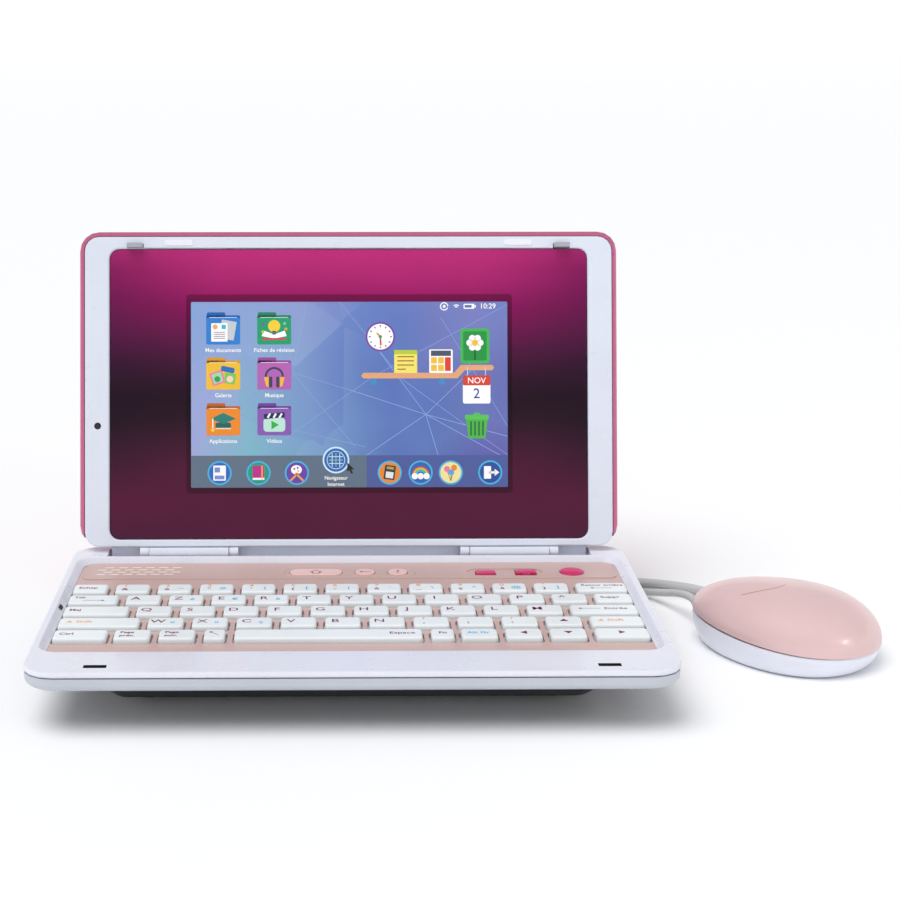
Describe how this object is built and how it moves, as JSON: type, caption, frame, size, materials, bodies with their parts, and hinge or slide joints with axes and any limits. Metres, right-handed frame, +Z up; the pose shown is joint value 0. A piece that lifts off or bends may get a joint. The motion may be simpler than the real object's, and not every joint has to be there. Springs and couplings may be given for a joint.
{
  "type": "toy laptop computer",
  "caption": "Toy laptop computer with a hinged lid and screen, a keyboard of pressing keys, and a wired mouse on a thin lead.",
  "frame": {"origin": "on the surface it stands on, under the middle of the box round the laptop and its mouse, lead left out", "axes": "+X to the user's right along the front edge, +Y away from the user, +Z up"},
  "size_m": [0.3659, 0.2109, 0.1749],
  "materials": {
    "case_grey": "fine matt",
    "case_white": "satin",
    "deck_pink": "satin",
    "membrane": "matt silicone",
    "board": "circuit board",
    "battery": "matt",
    "dark": "matt",
    "steel": "plain",
    "foot": "matt",
    "bezel": "satin",
    "hook": "satin",
    "bumper": "soft",
    "lid_pink": "pearl gloss",
    "window": "clear gloss over a printed tint",
    "lcd": "display",
    "key_white": "satin",
    "button_pill": "satin",
    "button_magenta": "gloss",
    "mouse_white": "satin",
    "mouse_pearl": "pearl gloss",
    "cord": "matt"
  },
  "bodies": {
    "base": {"base_lower_case": "case_grey", "base_upper_case": "case_white", "keyboard_deck": "deck_pink", "key_membrane": "membrane", "main_board": "board", "battery_pack": "battery", "battery_cover": "case_grey", "speaker": "dark", "usb_socket": "steel", "foot_front_left": "foot", "foot_front_right": "foot", "foot_rear_left": "foot", "foot_rear_right": "foot", "hinge_pin_left": "steel", "hinge_pin_right": "steel", "mouse_base": "mouse_white", "mouse_board": "board", "mouse_strain_relief": "cord", "mouse_cord": "cord", "usb_plug": "hook", "plug_strain_relief": "cord"},
    "lid": {"lid_rear_shell": "lid_pink", "lid_bezel": "bezel", "screen_window": "window", "lcd_panel": "lcd", "camera_lens": "dark", "latch_hook_left": "hook", "latch_hook_right": "hook", "bumper_left": "bumper", "bumper_right": "bumper", "hinge_knuckle_left": "bezel", "hinge_knuckle_right": "bezel"},
    "key_escape": {"key_escape": "key_white"},
    "key_backspace": {"key_backspace": "key_white"},
    "key_tab": {"key_tab": "key_white"},
    "key_delete": {"key_delete": "key_white"},
    "key_caps": {"key_caps": "key_white"},
    "key_enter": {"key_enter": "key_white"},
    "key_shift_left": {"key_shift_left": "key_white"},
    "key_up": {"key_up": "key_white"},
    "key_shift_right": {"key_shift_right": "key_white"},
    "key_control": {"key_control": "key_white"},
    "key_space": {"key_space": "key_white"},
    "key_left": {"key_left": "key_white"},
    "key_down": {"key_down": "key_white"},
    "key_right": {"key_right": "key_white"},
    "keys_number_row": {"keys_number_row": "key_white"},
    "keys_upper_row": {"keys_upper_row": "key_white"},
    "keys_home_row": {"keys_home_row": "key_white"},
    "keys_lower_row": {"keys_lower_row": "key_white"},
    "keys_page": {"keys_page": "key_white"},
    "keys_fn": {"keys_fn": "key_white"},
    "button_home": {"button_home": "button_pill"},
    "button_back": {"button_back": "button_pill"},
    "button_help": {"button_help": "button_pill"},
    "button_volume_down": {"button_volume_down": "button_magenta"},
    "button_volume_up": {"button_volume_up": "button_magenta"},
    "button_power": {"button_power": "button_magenta"},
    "mouse_shell": {"mouse_shell": "mouse_pearl"}
  },
  "joints": [
    {"name": "lid_hinge", "type": "hinge", "parent": "base", "child": "lid", "pos_m": [-0.05182, 0.05117, 0.0275], "axis": [1, 0, 0], "range_deg": [-12, 105.2]},
    {"name": "key_escape_press", "type": "slide", "parent": "base", "child": "key_escape", "axis": [0, 0, -1], "range_m": [0, 0.0014], "stiffness_N_per_m": 200, "springref_m": -0.0005},
    {"name": "key_backspace_press", "type": "slide", "parent": "base", "child": "key_backspace", "axis": [0, 0, -1], "range_m": [0, 0.0014], "stiffness_N_per_m": 200, "springref_m": -0.0005},
    {"name": "key_tab_press", "type": "slide", "parent": "base", "child": "key_tab", "axis": [0, 0, -1], "range_m": [0, 0.0014], "stiffness_N_per_m": 200, "springref_m": -0.0005},
    {"name": "key_delete_press", "type": "slide", "parent": "base", "child": "key_delete", "axis": [0, 0, -1], "range_m": [0, 0.0014], "stiffness_N_per_m": 200, "springref_m": -0.0005},
    {"name": "key_caps_press", "type": "slide", "parent": "base", "child": "key_caps", "axis": [0, 0, -1], "range_m": [0, 0.0014], "stiffness_N_per_m": 200, "springref_m": -0.0005},
    {"name": "key_enter_press", "type": "slide", "parent": "base", "child": "key_enter", "axis": [0, 0, -1], "range_m": [0, 0.0014], "stiffness_N_per_m": 200, "springref_m": -0.0005},
    {"name": "key_shift_left_press", "type": "slide", "parent": "base", "child": "key_shift_left", "axis": [0, 0, -1], "range_m": [0, 0.0014], "stiffness_N_per_m": 200, "springref_m": -0.0005},
    {"name": "key_up_press", "type": "slide", "parent": "base", "child": "key_up", "axis": [0, 0, -1], "range_m": [0, 0.0014], "stiffness_N_per_m": 200, "springref_m": -0.0005},
    {"name": "key_shift_right_press", "type": "slide", "parent": "base", "child": "key_shift_right", "axis": [0, 0, -1], "range_m": [0, 0.0014], "stiffness_N_per_m": 200, "springref_m": -0.0005},
    {"name": "key_control_press", "type": "slide", "parent": "base", "child": "key_control", "axis": [0, 0, -1], "range_m": [0, 0.0014], "stiffness_N_per_m": 200, "springref_m": -0.0005},
    {"name": "key_space_press", "type": "slide", "parent": "base", "child": "key_space", "axis": [0, 0, -1], "range_m": [0, 0.0014], "stiffness_N_per_m": 200, "springref_m": -0.0005},
    {"name": "key_left_press", "type": "slide", "parent": "base", "child": "key_left", "axis": [0, 0, -1], "range_m": [0, 0.0014], "stiffness_N_per_m": 200, "springref_m": -0.0005},
    {"name": "key_down_press", "type": "slide", "parent": "base", "child": "key_down", "axis": [0, 0, -1], "range_m": [0, 0.0014], "stiffness_N_per_m": 200, "springref_m": -0.0005},
    {"name": "key_right_press", "type": "slide", "parent": "base", "child": "key_right", "axis": [0, 0, -1], "range_m": [0, 0.0014], "stiffness_N_per_m": 200, "springref_m": -0.0005},
    {"name": "keys_number_row_press", "type": "slide", "parent": "base", "child": "keys_number_row", "axis": [0, 0, -1], "range_m": [0, 0.0014], "stiffness_N_per_m": 2000, "springref_m": -0.0005},
    {"name": "keys_upper_row_press", "type": "slide", "parent": "base", "child": "keys_upper_row", "axis": [0, 0, -1], "range_m": [0, 0.0014], "stiffness_N_per_m": 2000, "springref_m": -0.0005},
    {"name": "keys_home_row_press", "type": "slide", "parent": "base", "child": "keys_home_row", "axis": [0, 0, -1], "range_m": [0, 0.0014], "stiffness_N_per_m": 2000, "springref_m": -0.0005},
    {"name": "keys_lower_row_press", "type": "slide", "parent": "base", "child": "keys_lower_row", "axis": [0, 0, -1], "range_m": [0, 0.0014], "stiffness_N_per_m": 2000, "springref_m": -0.0005},
    {"name": "keys_page_press", "type": "slide", "parent": "base", "child": "keys_page", "axis": [0, 0, -1], "range_m": [0, 0.0014], "stiffness_N_per_m": 600, "springref_m": -0.0005},
    {"name": "keys_fn_press", "type": "slide", "parent": "base", "child": "keys_fn", "axis": [0, 0, -1], "range_m": [0, 0.0014], "stiffness_N_per_m": 400, "springref_m": -0.0005},
    {"name": "button_home_press", "type": "slide", "parent": "base", "child": "button_home", "axis": [0, 0, -1], "range_m": [0, 0.0008], "stiffness_N_per_m": 200, "springref_m": -0.0005},
    {"name": "button_back_press", "type": "slide", "parent": "base", "child": "button_back", "axis": [0, 0, -1], "range_m": [0, 0.0008], "stiffness_N_per_m": 200, "springref_m": -0.0005},
    {"name": "button_help_press", "type": "slide", "parent": "base", "child": "button_help", "axis": [0, 0, -1], "range_m": [0, 0.0008], "stiffness_N_per_m": 200, "springref_m": -0.0005},
    {"name": "button_volume_down_press", "type": "slide", "parent": "base", "child": "button_volume_down", "axis": [0, 0, -1], "range_m": [0, 0.0008], "stiffness_N_per_m": 200, "springref_m": -0.0005},
    {"name": "button_volume_up_press", "type": "slide", "parent": "base", "child": "button_volume_up", "axis": [0, 0, -1], "range_m": [0, 0.0008], "stiffness_N_per_m": 200, "springref_m": -0.0005},
    {"name": "button_power_press", "type": "slide", "parent": "base", "child": "button_power", "axis": [0, 0, -1], "range_m": [0, 0.0008], "stiffness_N_per_m": 200, "springref_m": -0.0005},
    {"name": "mouse_click", "type": "hinge", "parent": "base", "child": "mouse_shell", "pos_m": [0.17552, -0.03414, 0.0097], "axis": [-0.5878, -0.809, 0], "range_deg": [0, 0.7], "stiffness_Nm_per_rad": 3, "springref_deg": -1.15}
  ]
}
